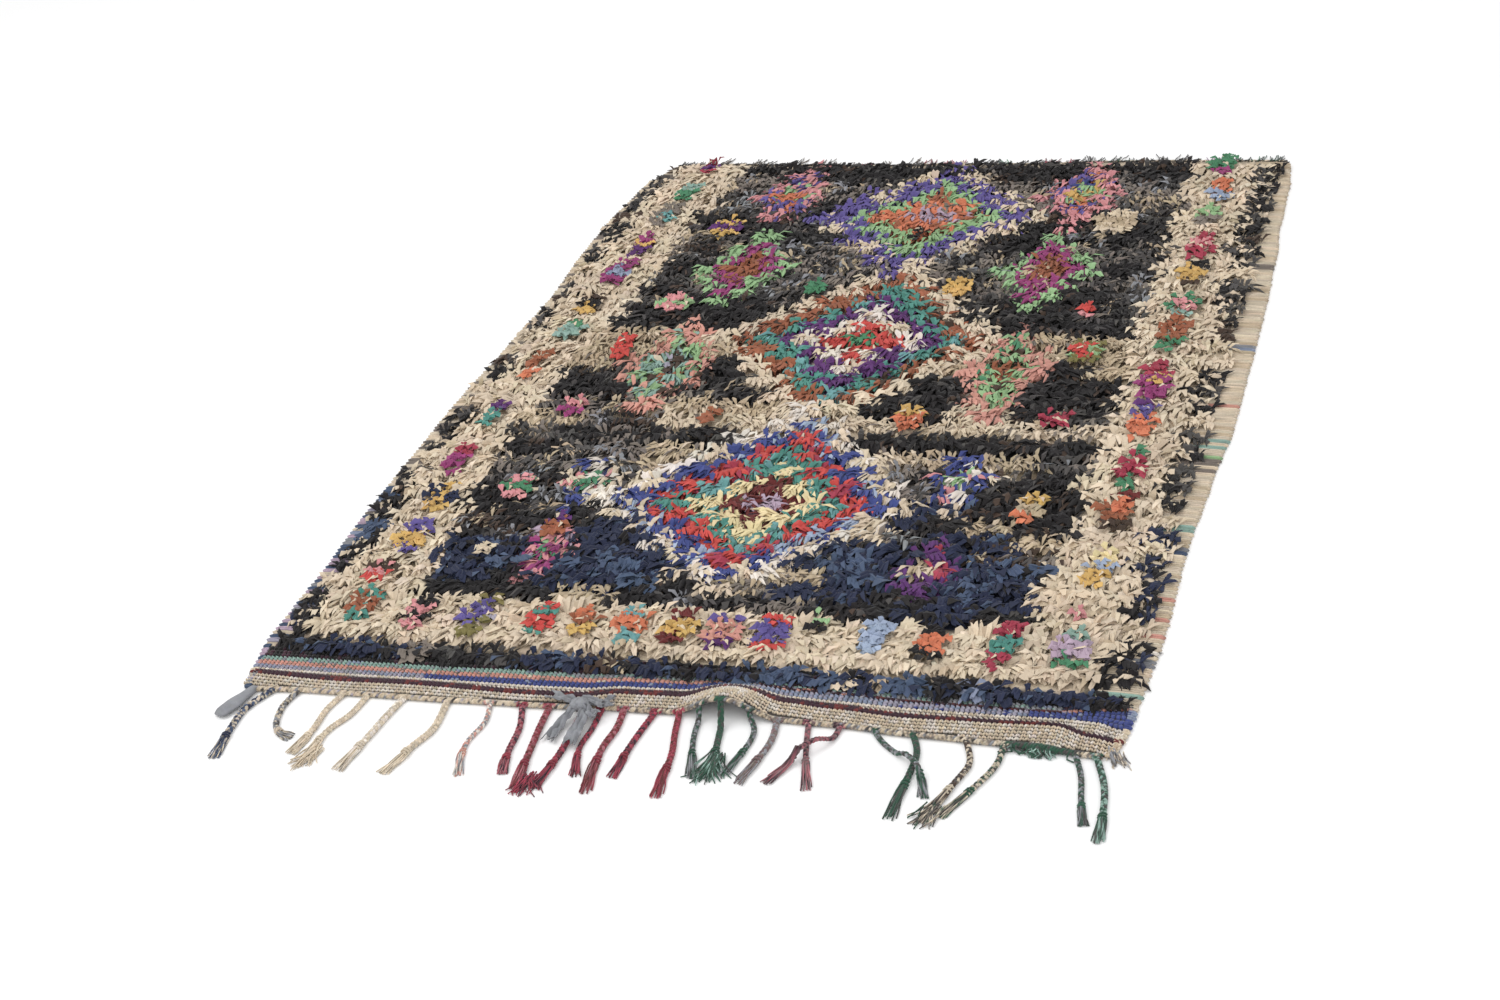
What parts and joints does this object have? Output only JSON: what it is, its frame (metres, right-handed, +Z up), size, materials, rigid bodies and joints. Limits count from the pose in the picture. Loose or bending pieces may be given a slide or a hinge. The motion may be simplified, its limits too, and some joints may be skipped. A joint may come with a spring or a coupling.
{
  "type": "boucherouite rug",
  "caption": "Hand-knotted rag-pile rug lying flat, with a bare woven end, an uneven outline, a buckled edge, plaited fringe and a frayed far end",
  "frame": {"origin": "middle of the woven cloth, on the floor it lies on", "axes": "+X across the rug, +Y along it away from the plaited end, +Z up out of the pile"},
  "size_m": [1.3239, 2.0381, 0.0342],
  "materials": {
    "ground_weave": "flat-woven cotton and wool in weft stripes of cream, rust, teal, salmon and blue",
    "rag_pile": "matte knotted rag strips in many colours, dark field with bright lozenges and a cream border",
    "fringe_yarn": "plaited woollen yarn in cream, crimson, green and taupe",
    "frayed_yarn": "short frayed dark yarn ends",
    "grey_rag": "crumpled grey jersey rag"
  },
  "bodies": {
    "root": {"ground_weave": "ground_weave", "rag_pile": "rag_pile", "fringe_near": "fringe_yarn", "fringe_far": "frayed_yarn", "rag_tie": "grey_rag"}
  },
  "joints": []
}
